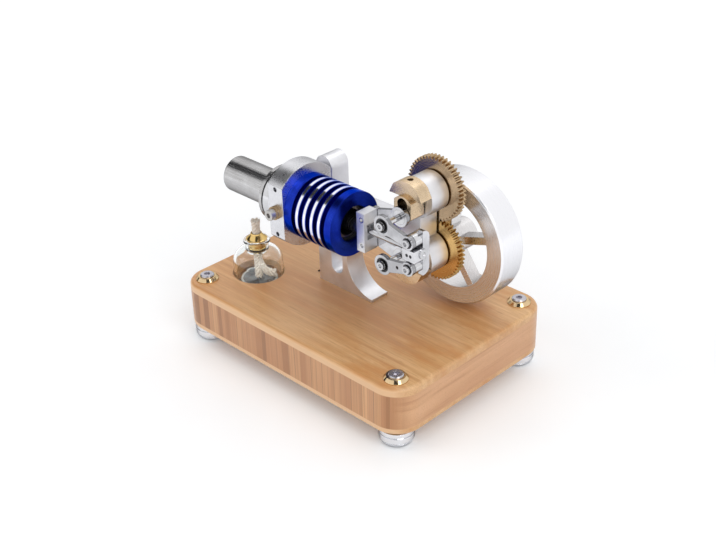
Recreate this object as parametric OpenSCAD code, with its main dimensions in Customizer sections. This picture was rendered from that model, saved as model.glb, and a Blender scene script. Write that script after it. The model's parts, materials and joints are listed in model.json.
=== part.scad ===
// Small hot-air engine with two geared cranks on a wooden base.
// Frame: X along the cylinder, +X towards the cranks; Y along the shafts, +Y towards the
// flywheel; Z up from the underside of the feet; the origin is under the middle of the base.

/* [Base] */
// Length of the wooden base along X
base_length = 158; // [110:1:240]
// Depth of the wooden base along Y
base_depth = 111; // [76:1:170]
// Thickness of the wooden base
base_thickness = 26; // [14:0.5:40]
// Radius of the base's four upright corners
base_corner = 14; // [6:0.5:24]
// Radius of the base's rounded top and bottom edges
base_edge = 2; // [0.5:0.25:5]
// Radius of the pocket that the burner stands in
pocket_radius = 13.8; // [8:0.1:20]
// Depth of the burner's pocket
pocket_depth = 5; // [3:0.5:18]
// Radius of the small blind hole beside the bracket
pilot_radius = 0.9; // [0.4:0.1:2]
// Depth of the small blind hole
pilot_depth = 6; // [2:0.5:12]
// Place of the small blind hole along X
pilot_place = -29.8; // [-36:0.2:-27]

/* [Feet and corner screws] */
// Distance from the base's end to a corner screw
corner_inset_x = 11; // [10:0.5:20]
// Distance from the base's side to a corner screw
corner_inset_y = 10.2; // [10:0.2:18]
// Radius of a foot
foot_radius = 8.7; // [5:0.1:9.5]
// Height of a foot
foot_height = 9; // [5:0.5:16]
// Radius of the rounding under a foot
foot_round = 4.3; // [1:0.1:6]
// Depth of the ring grooves around a foot
foot_groove_depth = 0.5; // [0.2:0.05:1]
// Width of the ring grooves around a foot
foot_groove_width = 0.7; // [0.3:0.05:1.5]
// Radius of a corner screw's shank
corner_screw_radius = 2; // [1.5:0.1:3]
// Radius of the hole in the wood around a corner screw
corner_hole_radius = 2.4; // [1.8:0.1:4]
// How far a corner screw reaches into its foot
corner_screw_reach = 5; // [2:0.5:8]
// Radius of a corner screw's head
corner_head_radius = 3.7; // [2.5:0.1:6]
// Height of a corner screw's head above the base
corner_head_height = 2.9; // [1.5:0.1:5]
// Outer radius of a cup washer
washer_radius = 6; // [4:0.1:9]
// Height of a cup washer
washer_height = 2; // [1:0.1:4]
// Thickness of a cup washer's outer lip
washer_lip = 0.5; // [0.2:0.05:1.2]
// Width across the corners of a corner screw's socket
corner_socket = 3.4; // [1.5:0.1:5]
// Depth of a corner screw's socket
corner_socket_depth = 1.6; // [0.5:0.1:2.5]

/* [Cylinder line] */
// Height of the cylinder's axis above the base
axis_rise = 53.5; // [40:0.5:90]
// Place of the cylinder's axis along Y
axis_place = -21.5; // [-40:0.5:0]

/* [Bracket] */
// Place of the bracket's front face along Y
bracket_front = -5; // [-12:0.5:4]
// Thickness of the bracket along Y
bracket_thick = 11.5; // [6:0.5:20]
// Place of the bracket's left edge along X
bracket_left = -24; // [-40:0.5:-15]
// Width of the bracket's lower column
column_width = 20.5; // [12:0.5:30]
// Length of the bracket's foot along X
bracket_foot = 37.6; // [26:0.2:60]
// Radius of the round hollow between foot and arm
hollow_radius = 17.5; // [8:0.5:22]
// Thickness of the foot's toe
toe_height = 1.5; // [0.5:0.1:4]
// Height of the arm that carries the bearings
arm_height = 16; // [8:0.5:24]
// Width of the upright post behind the hot end
post_width = 11.2; // [6:0.2:18]
// Height of the post above the base
post_height = 71.9; // [50:0.1:90]
// Radius of a bearing boss
boss_radius = 10; // [8:0.25:13]
// Width of the web between the two bearing bosses
boss_web = 10.5; // [4:0.5:16]
// Width of the bracket's lightening slot
slot_width = 8; // [3:0.25:12]
// Height of the slot's lower end above the base
slot_low = 8.2; // [4:0.2:14]
// Height of the slot's upper end above the base
slot_high = 32; // [20:0.5:34]
// Distance from the bracket's left edge to the slot's middle
slot_place = 13.2; // [8:0.2:16]

/* [Hot end] */
// Radius of the hot cap
cap_radius = 9.4; // [6:0.1:14]
// Length of the hot cap beyond its flange
cap_length = 33.3; // [20:0.1:60]
// Wall of the hot cap
cap_wall = 0.9; // [0.4:0.05:2]
// Radius of the rounded edge at the cap's closed end
cap_edge = 0.8; // [0.2:0.1:2]
// Radius of the rings between cap and block
ring_radius = 14.5; // [11:0.1:20]
// Thickness of the cap's flange
cap_flange = 2; // [1:0.1:4]
// Thickness of the dark gasket
gasket_thick = 1; // [0.4:0.1:2]
// Thickness of the spacer ring
spacer_thick = 4.2; // [2:0.1:8]
// Thickness of the block's round step
step_thick = 3; // [1:0.1:6]
// Radius of the hot-end block
block_radius = 21.3; // [17:0.1:28]
// Thickness of the hot-end block
block_thick = 10; // [5:0.5:16]
// Distance of the block's front flat from the axis
block_flat = 16.4; // [15:0.1:20]
// Place of the block's front face, where the cooler starts, along X
block_face = -12.3; // [-20:0.1:0]
// Radius of the two tapped holes in the block's flat
tapped_radius = 1.2; // [0.6:0.1:2]
// Depth of the two tapped holes
tapped_depth = 4; // [2:0.5:6]
// Distance of a tapped hole from the axis
tapped_place = 12; // [9:0.1:14]
// Radius of the brass bush on the block's flat
bush_radius = 3.4; // [2.5:0.1:6]
// Thickness of the brass bush
bush_thick = 2; // [0.5:0.1:4]
// Radius of the plug screw's head
plug_radius = 2.7; // [1.5:0.1:4]
// Length of the plug screw's head
plug_length = 3.2; // [2:0.1:8]
// Radius of the plug screw's shank
plug_shank = 1.5; // [1:0.1:2.4]
// How far the plug screw reaches into the block
plug_reach = 5; // [2:0.1:7]

/* [Cooler] */
// Radius of the cooler's rings and fins
cooler_radius = 16.2; // [13:0.1:16.2]
// Radius of the cooler between its fins
cooler_core = 12; // [10.5:0.1:15]
// Length of the cooler
cooler_length = 31.9; // [20:0.1:50]
// Thickness of the ring next to the hot end
back_ring = 5.3; // [2:0.1:8]
// Thickness of the ring next to the cranks
front_ring = 4.2; // [2:0.1:8]
// Number of fins between the rings
fin_count = 4; // [2:1:8]
// Thickness of a fin
fin_thick = 2.4; // [0.8:0.1:2.6]
// Radius of the cooler's bore, which holds the liner
cooler_bore = 9.3; // [8:0.1:11]
// How far the liner stops short of the cooler's front face
liner_short = 2.4; // [0:0.1:5]
// Radius of the cylinder bore
cylinder_bore = 8.3; // [6:0.1:9]

/* [Piston] */
// Running clearance of a sliding or turning fit
running_gap = 0.05; // [0.02:0.01:0.1]
// Free gap between pieces that pass each other
free_gap = 0.3; // [0.25:0.05:0.6]
// Place of the piston's hot face along X
piston_place = -6; // [-9:0.5:-2]
// Length of the piston
piston_length = 22; // [16:0.5:24]
// Thickness of the piston's crown
piston_crown = 5; // [3:0.5:8]
// Wall of the piston's skirt
piston_skirt = 1.4; // [0.8:0.1:3]
// Radius of the neck between piston and yoke
neck_radius = 3.6; // [2.6:0.1:5]
// Thickness of the piston yoke along X
yoke_thick = 4.9; // [4.5:0.1:6]
// Half the height of the piston yoke
yoke_half_height = 10.1; // [8.6:0.1:11]
// Depth of the pocket in the piston yoke's crank side
yoke_pocket_depth = 2.4; // [1:0.1:4]
// Half the height of the pocket in the piston yoke
yoke_pocket_half = 4; // [2.4:0.1:4.2]
// Distance of the piston yoke's pins from its hot side
yoke_pin_inset = 3.1; // [2.5:0.1:4]

/* [Displacer] */
// Radius of the displacer rod
rod_radius = 1.5; // [1:0.1:2]
// Radius of the displacer
displacer_radius = 7.9; // [5:0.1:8]
// Length of the displacer
displacer_length = 40; // [20:0.5:44]
// Gap between the displacer and the piston at rest
displacer_gap = 7.5; // [7:0.25:12]
// Length of the displacer yoke's middle block
crosshead_length = 7.3; // [6:0.1:9.1]
// Half the height of the crosshead's middle block
crosshead_half = 2.9; // [2:0.1:2.9]
// How far the middle block stands in front of the axis
crosshead_front = 6; // [4:0.1:8]
// Thickness of the displacer yoke's end plate
plate_thick = 2.9; // [1.5:0.1:5]
// Distance from the displacer yoke's pins to the plate's outer face
plate_reach = 3.6; // [3.5:0.1:6]
// Half the height of the end plate
plate_half_height = 11.3; // [9:0.1:13]
// Radius of the end plate's rounded back corners
plate_corner = 3.8; // [1:0.1:4]
// Radius of the lugs that hold the displacer yoke's pins
lug_radius = 3.5; // [2.5:0.1:3.5]
// Radius of the rod's end screw
end_screw_radius = 2.5; // [1.8:0.1:4]
// Height of the rod's end screw
end_screw_height = 0.6; // [0.4:0.1:3]
// Radius of the small clamping screws in the middle block
clamp_screw_radius = 0.8; // [0.5:0.1:1]

/* [Links] */
// Distance between the centres of a link's two eyes
link_length = 15.88; // [15.2:0.02:18]
// Half the distance between a yoke's two pins
pin_spread = 6.7; // [5:0.1:7]
// Radius of a link's crank end
link_big = 5; // [3.6:0.1:5.4]
// Radius of a link's yoke end
link_small = 3.5; // [2.6:0.1:3.5]
// Half the width of a link's bar at its crank end
waist_big = 3.4; // [2:0.1:3.5]
// Half the width of a link's bar at its yoke end
waist_small = 2.5; // [1.5:0.1:2.5]
// Thickness of a link
link_thick = 2.1; // [1:0.1:3]
// Radius of the pins and bolts through the links
pin_radius = 1.5; // [1:0.1:1.6]
// Outer radius of the bearing in a link's crank end
big_bearing_radius = 3.6; // [2.4:0.1:4.2]
// Outer radius of the bearing in a link's yoke end
small_bearing_radius = 2.6; // [2:0.1:3]
// Radius of the hole along the lower long link
extra_hole_radius = 0.8; // [0.4:0.1:1.2]
// Distance of the extra hole from the yoke end
extra_hole_place = 6.2; // [5:0.1:9]
// Half the depth of the space the yokes move in
yoke_layer = 4.35; // [3:0.05:5]
// Radius of a bolt head at the links
link_head_radius = 2; // [1.7:0.1:3.4]
// Height of a bolt head at the links
link_head_height = 1.2; // [0.5:0.1:2]
// Radius of the collar under the crank bolts' heads
collar_radius = 2.8; // [2:0.1:4]
// Thickness of that collar
collar_thick = 0.5; // [0.2:0.1:1]
// Radius of the spacers on the displacer yoke's pins
pin_spacer_radius = 3.4; // [2:0.1:3.4]
// Width across the corners of the link bolts' sockets
link_socket = 2.2; // [1:0.1:3]
// Depth of the link bolts' sockets
link_socket_depth = 0.8; // [0.3:0.1:1]

/* [Cranks and shafts] */
// Place of the two crankshafts along X
shaft_place = 44; // [40:0.5:60]
// Distance between the two crankshafts
shaft_pitch = 31.5; // [24:0.5:45]
// Radius of a crank
crank_throw = 5.6; // [3:0.1:6]
// Radius of a shaft
shaft_radius = 3; // [2:0.1:4]
// Radius of a crank's eccentric hub
hub_radius = 6.5; // [5.6:0.1:8]
// Distance of the hub's middle from its shaft
hub_offset = 2.5; // [1:0.1:3.5]
// Half the width between the hub's two side flats
hub_half = 5.2; // [4:0.1:6.5]
// How far the hub stands in front of the counterweight
hub_nose = 1.9; // [0:0.1:4]
// Radius of a crank's counterweight
weight_radius = 10.8; // [7:0.1:12]
// Distance of the counterweight's flat edge from the shaft
weight_flat = 3; // [0:0.1:5]
// Distance of the counterweight's two side facets from the shaft
weight_facet = 10.2; // [7:0.1:12]
// Angle of the side facets above the sideways direction in degrees
facet_turn = 27; // [20:1:40]
// How far a shaft's end lies inside its crank's bore
shaft_recess = 5; // [1:0.1:7]
// Radius of a crank's clamping screw
set_screw_radius = 1.5; // [0.8:0.1:2.5]
// Length of a crank's clamping screw
set_screw_length = 4; // [2:0.1:6]
// Outer radius of a shaft bearing
bearing_radius = 6.5; // [5:0.1:8]
// Width of a shaft bearing
bearing_width = 5; // [2:0.1:5.5]
// Radius of the passage between a boss's two bearings
passage_radius = 5.2; // [4:0.1:6]
// Depth of the ring groove in a bearing's face
race_depth = 0.4; // [0.1:0.05:1]

/* [Gears] */
// Number of teeth on each gear
tooth_count = 45; // [30:1:60]
// Pressure angle of the teeth in degrees
pressure_angle = 20; // [14.5:0.5:25]
// Thickness of a gear
gear_thick = 4; // [2:0.1:6]
// Gap between the bracket's back and a gear
gear_gap = 0.9; // [0.5:0.1:3]
// Radius of a gear's rear hub
gear_hub_radius = 6.5; // [4:0.1:9]
// Length of a gear's rear hub
gear_hub_length = 2.6; // [1:0.1:5]
// Play between the teeth, along the pitch circle
tooth_play = 0.16; // [0.05:0.01:0.4]

/* [Flywheel] */
// Radius of the flywheel
wheel_radius = 33.8; // [24:0.1:34]
// Radius inside the flywheel's rim
rim_inner = 24.5; // [15:0.1:30]
// Width of the flywheel's rim
rim_width = 16.2; // [8:0.1:20]
// Place of the flywheel's front face along Y
wheel_front = 17.8; // [16:0.1:24]
// Number of spokes
spoke_count = 5; // [3:1:8]
// Width of a spoke
spoke_width = 3.9; // [2:0.1:9]
// Thickness of a spoke along Y
spoke_thick = 7; // [3:0.1:12]
// How far the spokes lie behind the rim's front face
spoke_set = 0.4; // [0:0.1:8]
// Angle of the first spoke above +X in degrees
spoke_turn = 18; // [0:1:71]
// Radius of the flywheel's hub
wheel_hub_radius = 8; // [5:0.1:12]
// How far the hub stands in front of the rim
wheel_hub_nose = 3.2; // [0:0.1:3.4]
// Length of the flywheel's hub
wheel_hub_length = 16.4; // [8:0.1:24]
// Radius of the edge break on the rim
rim_edge = 0.8; // [0.2:0.1:1.5]

/* [Burner] */
// Distance from the hot cap's closed end to the burner's middle
burner_inset = 11.8; // [4:0.2:24]
// Radius of the burner's glass
glass_radius = 13.2; // [8:0.1:18]
// Height of the glass's straight wall above the base
glass_wall_rise = 7; // [2:0.5:14]
// Radius of the glass's shoulder
glass_shoulder = 7; // [4:0.1:12]
// Wall of the glass
glass_wall = 1.3; // [0.8:0.1:3]
// Radius of the glass's neck
glass_neck = 6.2; // [5.2:0.1:8]
// Height of the neck's mouth above the base
neck_rise = 19.4; // [14:0.1:24]
// Radius of the lip around the neck's mouth
lip_radius = 7.1; // [6.4:0.1:9]
// Height of the lip around the neck's mouth
lip_height = 1.8; // [0.6:0.1:3]
// Radius of the brass collar's brim
brim_radius = 5.5; // [5:0.05:7]
// Thickness of the collar's brim
brim_thick = 1.2; // [0.5:0.1:3]
// Radius of the collar's sleeve
sleeve_radius = 4.5; // [3:0.1:4.9]
// How far the sleeve reaches below the brim
sleeve_drop = 6; // [2:0.1:10]
// Radius of the cone on the brim
cone_radius = 5; // [4:0.1:6]
// Height of the cone above the brim
cone_rise = 2.8; // [0.5:0.1:5]
// Wall of the cone around the wick at its top
cone_wall = 0.4; // [0.2:0.05:1.5]
// Radius of the wick
wick_radius = 2.4; // [1:0.1:4]
// How much wider the wick's frayed top is
wick_flare = 0.4; // [0:0.05:1]
// Height of the wick's top above the base
wick_rise = 30.9; // [22:0.1:31]

/* [Hidden] */
$fn = 96;
// Surface heights and lines shared by the pieces
base_top = foot_height + base_thickness;
axis_z = base_top + axis_rise;
axis_y = axis_place;
shaft_x = shaft_place;
high_z = axis_z + shaft_pitch / 2;
low_z = axis_z - shaft_pitch / 2;
bracket_back = bracket_front + bracket_thick;
// Distance of each crankpin from the cylinder's axis at rest
pin_rest = shaft_pitch / 2 - crank_throw;
// Reach of a link along X and its slope at rest
link_drop = pin_rest - pin_spread;
link_reach = sqrt(link_length * link_length - link_drop * link_drop);
link_angle = atan2(link_drop, link_reach);
piston_pin_x = shaft_x - link_reach;
displacer_pin_x = shaft_x + link_reach;
// Layers along Y, measured from the cylinder's axis
long_back = -yoke_layer - free_gap;
long_front = long_back - link_thick;
short_front = yoke_layer + free_gap;
short_back = short_front + link_thick;
hub_front = short_back + free_gap;
hub_back = bracket_front - free_gap - axis_y;
// Hot-end planes along X
block_back = block_face - block_thick;
step_back = block_back - step_thick;
spacer_back = step_back - spacer_thick;
gasket_back = spacer_back - gasket_thick;
cap_back = gasket_back - cap_flange;
cap_end = cap_back - cap_length;
cap_inner = cap_radius - cap_wall;
// Middle of the burner and its pocket along X
pocket_place = cap_end + burner_inset;
cooler_front = block_face + cooler_length;
liner_end = cooler_front - liner_short;
// Piston and displacer planes along X
piston_end = piston_place + piston_length;
yoke_left = piston_pin_x - yoke_pin_inset;
yoke_right = yoke_left + yoke_thick;
displacer_right = piston_place - displacer_gap;
displacer_left = displacer_right - displacer_length;
plate_right = displacer_pin_x + plate_reach;
plate_left = plate_right - plate_thick;
crosshead_left = plate_right - crosshead_length;
// Gears
pitch_radius = shaft_pitch / 2;
tooth_size = shaft_pitch / tooth_count;
tip_radius = pitch_radius + tooth_size;
root_radius = pitch_radius - 1.25 * tooth_size;
involute_radius = pitch_radius * cos(pressure_angle);
gear_front = bracket_back + gear_gap;
gear_back = gear_front + gear_thick;
flank_steps = 4;
// Where the two clamping screws stand along the displacer yoke's middle block
clamp_shares = [0.38, 0.68];
// Where the two grooves run around a foot, as shares of its height
foot_groove_shares = [0.36, 0.74];
// Extra length of every cutting body
cut = base_edge;

// Which node to draw

// A disc along X from one plane to another, on the cylinder's axis
module disc_x(from_x, to_x, radius) {
    translate([from_x, axis_y, axis_z])
        rotate([0, 90, 0])
            cylinder(h = to_x - from_x, r = radius);
}

// A disc along Y between two planes, at a place in X and Z
module disc_y(x, z, from_y, to_y, radius) {
    translate([x, to_y, z])
        rotate([90, 0, 0])
            cylinder(h = to_y - from_y, r = radius);
}

// A flat outline in X and Z given thickness along Y between two planes
module plate_y(from_y, to_y) {
    translate([0, to_y, 0])
        rotate([90, 0, 0])
            linear_extrude(height = to_y - from_y)
                children();
}

// A six-sided socket along Y, cut into a front face
module socket_y(x, z, face_y, across, depth) {
    translate([x, face_y + depth, z])
        rotate([90, 0, 0])
            cylinder(h = depth + cut, r = across / 2, $fn = 6);
}

// One piece at each corner of the base
module at_corners() {
    for (sx = [-1, 1])
        for (sy = [-1, 1])
            translate([sx * (base_length / 2 - corner_inset_x), sy * (base_depth / 2 - corner_inset_y), 0])
                children();
}

// Half of a rounded slab's cross-section, from the middle out to a given half width
module slab_half(half_width) {
    translate([0, base_edge])
        square([half_width, base_thickness - 2 * base_edge]);
    square([half_width - base_edge, base_thickness]);
    for (level = [base_edge, base_thickness - base_edge])
        translate([half_width - base_edge, level])
            circle(r = base_edge);
}

// A whole rounded cross-section
module slab_whole(half_width) {
    slab_half(half_width);
    mirror([1, 0])
        slab_half(half_width);
}

module base_blank() {
    half_x = base_length / 2;
    half_y = base_depth / 2;
    translate([0, half_y - base_corner, 0])
        rotate([90, 0, 0])
            linear_extrude(height = base_depth - 2 * base_corner)
                slab_whole(half_x);
    translate([base_corner - half_x, 0, 0])
        rotate([90, 0, 90])
            linear_extrude(height = base_length - 2 * base_corner)
                slab_whole(half_y);
    for (sx = [-1, 1])
        for (sy = [-1, 1])
            translate([sx * (half_x - base_corner), sy * (half_y - base_corner), 0])
                rotate_extrude()
                    slab_half(base_corner);
}

module base() {
    color("BurlyWood")
        difference() {
            translate([0, 0, foot_height])
                base_blank();
            at_corners()
                translate([0, 0, foot_height - cut])
                    cylinder(h = base_thickness + 2 * cut, r = corner_hole_radius);
            translate([pocket_place, axis_y, base_top - pocket_depth])
                cylinder(h = pocket_depth + cut, r = pocket_radius);
            translate([pilot_place, 0, base_top - pilot_depth])
                cylinder(h = pilot_depth + cut, r = pilot_radius);
        }
}

// Half of a foot's cross-section: a bowl with a flat underside and two ring grooves
module foot_profile() {
    flat = foot_radius - foot_round;
    difference() {
        union() {
            square([flat, foot_height]);
            translate([0, foot_round])
                square([foot_radius, foot_height - foot_round]);
            intersection() {
                translate([flat, foot_round])
                    circle(r = foot_round);
                square([foot_radius, foot_height]);
            }
        }
        for (share = foot_groove_shares)
            translate([foot_radius - foot_groove_depth, share * foot_height - foot_groove_width / 2])
                square([foot_groove_depth + cut, foot_groove_width]);
    }
}

module feet() {
    color("Silver")
        at_corners()
            difference() {
                rotate_extrude()
                    foot_profile();
                translate([0, 0, foot_height - corner_screw_reach])
                    cylinder(h = corner_screw_reach + cut, r = corner_screw_radius);
            }
}

// Outline of a cup washer: a lip on the wood that rises to a raised ring
module washer_profile() {
    polygon([
        [corner_hole_radius, 0],
        [washer_radius, 0],
        [washer_radius, washer_lip],
        [corner_head_radius + 2 * washer_lip, washer_height],
        [corner_head_radius, washer_height],
        [corner_hole_radius, washer_lip]
    ]);
}

module cup_washers() {
    color("Gold")
        at_corners()
            translate([0, 0, base_top])
                rotate_extrude()
                    washer_profile();
}

// Outline of a corner screw above its shank, from the countersink to the low dome
module corner_head_profile() {
    polygon([
        [0, washer_lip],
        [corner_hole_radius, washer_lip],
        [corner_head_radius, washer_height],
        [corner_head_radius, (washer_height + corner_head_height) / 2],
        [corner_head_radius - washer_lip, corner_head_height],
        [0, corner_head_height]
    ]);
}

module corner_screws() {
    shank_low = foot_height - corner_screw_reach;
    color("Silver")
        at_corners()
            difference() {
                union() {
                    translate([0, 0, base_top])
                        rotate_extrude()
                            corner_head_profile();
                    translate([0, 0, shank_low])
                        cylinder(h = base_top + washer_height - shank_low, r = corner_screw_radius);
                }
                translate([0, 0, base_top + corner_head_height - corner_socket_depth])
                    cylinder(h = corner_socket_depth + cut, r = corner_socket / 2, $fn = 6);
            }
}

// Outline of the bracket seen from the front, with its foot at height zero
module bracket_outline() {
    round_x = bracket_left + column_width + hollow_radius;
    round_z = toe_height + hollow_radius;
    arm_low = round_z + hollow_radius;
    post_round = post_width / 2;
    post_left = bracket_left + toe_height / 2;
    low = low_z - base_top;
    high = high_z - base_top;
    difference() {
        union() {
            translate([bracket_left, 0])
                square([bracket_foot, round_z]);
            translate([bracket_left, 0])
                square([column_width + hollow_radius, arm_low + arm_height]);
        }
        translate([round_x, round_z])
            circle(r = hollow_radius);
        translate([bracket_left + bracket_foot, 0])
            square([hollow_radius, arm_low]);
    }
    translate([round_x, arm_low])
        square([shaft_x - round_x, arm_height]);
    translate([post_left, 0])
        square([post_width, post_height - post_round]);
    translate([post_left + post_round, post_height - post_round])
        circle(r = post_round);
    translate([shaft_x + boss_web / 4 - boss_web, low])
        square([boss_web, high - low]);
    for (level = [low, high])
        translate([shaft_x, level])
            circle(r = boss_radius);
}

module bracket() {
    slot_x = bracket_left + slot_place;
    color("Gainsboro")
        difference() {
            translate([0, 0, base_top])
                plate_y(bracket_front, bracket_back)
                    bracket_outline();
            translate([0, 0, base_top])
                plate_y(bracket_front - cut, bracket_back + cut)
                    union() {
                        for (level = [slot_low + slot_width / 2, slot_high - slot_width / 2])
                            translate([slot_x, level])
                                circle(r = slot_width / 2);
                        translate([slot_x - slot_width / 2, slot_low + slot_width / 2])
                            square([slot_width, slot_high - slot_low - slot_width]);
                    }
            for (z = [low_z, high_z]) {
                disc_y(shaft_x, z, bracket_front - cut, bracket_back + cut, passage_radius);
                disc_y(shaft_x, z, bracket_front - cut, bracket_front + bearing_width, bearing_radius);
                disc_y(shaft_x, z, bracket_back - bearing_width, bracket_back + cut, bearing_radius);
            }
        }
}

module hot_block() {
    back_flat = bracket_front - axis_y;
    color("Gainsboro")
        difference() {
            union() {
                intersection() {
                    disc_x(block_back, block_face, block_radius);
                    translate([block_back, axis_y - block_flat, axis_z - block_radius])
                        cube([block_thick, block_flat + back_flat, 2 * block_radius]);
                }
                disc_x(step_back, block_back, ring_radius);
            }
            disc_x(step_back - cut, block_face + cut, cap_inner);
            for (side = [-1, 1])
                disc_y((block_back + block_face) / 2, axis_z + side * tapped_place,
                    axis_y - block_flat - cut, axis_y - block_flat + tapped_depth, tapped_radius);
            disc_y((block_back + block_face) / 2, axis_z,
                axis_y - block_flat - cut, axis_y - block_flat + plug_reach, plug_shank);
        }
}

module spacer_ring() {
    color("LightGray")
        difference() {
            disc_x(spacer_back, step_back, ring_radius);
            disc_x(spacer_back - cut, step_back + cut, cap_inner);
        }
}

module gasket() {
    color("DimGray")
        difference() {
            disc_x(gasket_back, spacer_back, ring_radius - cap_wall / 2);
            disc_x(gasket_back - cut, spacer_back + cut, cap_inner);
        }
}

// Outline of the cap, as radius against distance from its closed end
module cap_profile() {
    square([cap_radius - cap_edge, cap_length]);
    translate([0, cap_edge])
        square([cap_radius, cap_length - cap_edge]);
    translate([cap_radius - cap_edge, cap_edge])
        circle(r = cap_edge);
    translate([0, cap_length])
        square([ring_radius, cap_flange]);
}

module hot_cap() {
    color("Silver")
        difference() {
            translate([cap_end, axis_y, axis_z])
                rotate([0, 90, 0])
                    rotate_extrude()
                        cap_profile();
            disc_x(cap_end + 1.3 * cap_wall, gasket_back + cut, cap_inner);
        }
}

module plug_bush() {
    color("Gold")
        difference() {
            disc_y((block_back + block_face) / 2, axis_z,
                axis_y - block_flat - bush_thick, axis_y - block_flat, bush_radius);
            disc_y((block_back + block_face) / 2, axis_z,
                axis_y - block_flat - bush_thick - cut, axis_y - block_flat + cut, plug_shank);
        }
}

module plug_screw() {
    plug_x = (block_back + block_face) / 2;
    plug_face = axis_y - block_flat - bush_thick - plug_length;
    color("Silver")
        difference() {
            union() {
                disc_y(plug_x, axis_z, plug_face, plug_face + plug_length, plug_radius);
                disc_y(plug_x, axis_z, plug_face, axis_y - block_flat + plug_reach, plug_shank);
            }
            socket_y(plug_x, axis_z, plug_face, plug_radius, plug_length / 2);
        }
}

module cooler() {
    fins_from = block_face + back_ring;
    fins_to = cooler_front - front_ring;
    pitch = (fins_to - fins_from + fin_thick) / (fin_count + 1);
    color("RoyalBlue")
        difference() {
            union() {
                disc_x(block_face, cooler_front, cooler_core);
                disc_x(block_face, fins_from, cooler_radius);
                disc_x(fins_to, cooler_front, cooler_radius);
                for (i = [1 : fin_count])
                    disc_x(fins_from + i * pitch - fin_thick, fins_from + i * pitch, cooler_radius);
            }
            disc_x(block_face - cut, cooler_front + cut, cooler_bore);
        }
}

module cylinder_liner() {
    color("Gray")
        difference() {
            disc_x(block_face, liner_end, cooler_bore);
            disc_x(block_face - cut, liner_end + cut, cylinder_bore);
        }
}

// One shaft bearing, with a ring groove in each face
module one_bearing(z, from_y, to_y) {
    bore = shaft_radius + running_gap;
    inner = bore + (bearing_radius - bore) / 3;
    outer = bearing_radius - (bearing_radius - bore) / 3;
    difference() {
        disc_y(shaft_x, z, from_y, to_y, bearing_radius);
        disc_y(shaft_x, z, from_y - cut, to_y + cut, bore);
        for (face = [from_y - cut, to_y - race_depth])
            difference() {
                disc_y(shaft_x, z, face, face + race_depth + cut, outer);
                disc_y(shaft_x, z, face - cut, face + race_depth + 2 * cut, inner);
            }
    }
}

module shaft_bearings() {
    color("Silver")
        for (z = [low_z, high_z]) {
            one_bearing(z, bracket_front, bracket_front + bearing_width);
            one_bearing(z, bracket_back - bearing_width, bracket_back);
        }
}

// Outline of the glass, as radius against height above the base, shrunk by a wall
module glass_profile(wall) {
    low = wall - pocket_depth;
    corner = glass_radius - glass_shoulder;
    translate([0, low])
        square([glass_radius - wall, glass_wall_rise - low]);
    intersection() {
        translate([corner, glass_wall_rise])
            circle(r = glass_shoulder - wall);
        square([glass_radius, neck_rise]);
    }
    translate([0, low])
        square([glass_neck - wall, neck_rise - low]);
}

// The rounded lip around the mouth
module lip_profile() {
    translate([0, neck_rise - lip_height])
        square([lip_radius - lip_height / 2, lip_height]);
    translate([lip_radius - lip_height / 2, neck_rise - lip_height / 2])
        circle(r = lip_height / 2);
}

module burner_glass() {
    color("LightCyan", 0.5)
        translate([pocket_place, axis_y, base_top])
            rotate_extrude()
                difference() {
                    union() {
                        glass_profile(0);
                        lip_profile();
                    }
                    union() {
                        glass_profile(glass_wall);
                        translate([0, glass_wall_rise])
                            square([glass_neck - glass_wall, neck_rise]);
                    }
                }
}

// Outline of the collar from its mouth plane: sleeve below, brim and cone above
module collar_profile() {
    polygon([
        [wick_radius, -sleeve_drop],
        [sleeve_radius, -sleeve_drop],
        [sleeve_radius, 0],
        [brim_radius, 0],
        [brim_radius, brim_thick],
        [cone_radius, brim_thick],
        [wick_radius + cone_wall, brim_thick + cone_rise],
        [wick_radius, brim_thick + cone_rise]
    ]);
}

module burner_collar() {
    color("Gold")
        translate([pocket_place, axis_y, base_top + neck_rise])
            rotate_extrude()
                collar_profile();
}

// Outline of the wick from its foot, with a wider frayed top
module wick_profile(height) {
    polygon([
        [0, 0],
        [wick_radius, 0],
        [wick_radius, height - wick_radius - wick_flare],
        [wick_radius + wick_flare, height - wick_radius],
        [wick_radius + wick_flare, height - wick_flare],
        [wick_radius, height],
        [0, height]
    ]);
}

module burner_wick() {
    low = glass_wall + free_gap - pocket_depth;
    color("Wheat")
        translate([pocket_place, axis_y, base_top + low])
            rotate_extrude()
                wick_profile(wick_rise - low);
}

// Half the thickness angle of a tooth at a radius, in degrees
function flank_turn(r) = tan(acos(involute_radius / r)) * 180 / PI - acos(involute_radius / r);
half_tooth = 90 / tooth_count - tooth_play / pitch_radius * 45 / PI;
function tooth_angle(r) = half_tooth + flank_turn(pitch_radius) - flank_turn(r);
function step_radius(i) = root_radius + (tip_radius - root_radius) * i / flank_steps;
function tooth_side(centre, side) = [
    for (j = [0 : flank_steps])
        let (i = side < 0 ? j : flank_steps - j)
            step_radius(i) * [cos(centre + side * tooth_angle(step_radius(i))),
                sin(centre + side * tooth_angle(step_radius(i)))]
];

// A toothed outline; the turn moves a tooth from the +X direction
module gear_outline(turn) {
    polygon([
        for (k = [0 : tooth_count - 1])
            for (side = [-1, 1])
                for (p = tooth_side(turn + k * 360 / tooth_count, side))
                    p
    ]);
}

module gear_at(z, turn) {
    color("Goldenrod")
        difference() {
            union() {
                plate_y(gear_front, gear_back)
                    translate([shaft_x, z])
                        gear_outline(turn);
                disc_y(shaft_x, z, bracket_back + free_gap, gear_front, shaft_radius + 2 * running_gap + gear_gap);
                disc_y(shaft_x, z, gear_back, gear_back + gear_hub_length, gear_hub_radius);
            }
            disc_y(shaft_x, z, bracket_back, gear_back + gear_hub_length + cut, shaft_radius);
        }
}

module lower_gear() {
    gear_at(low_z, 90);
}

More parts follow.
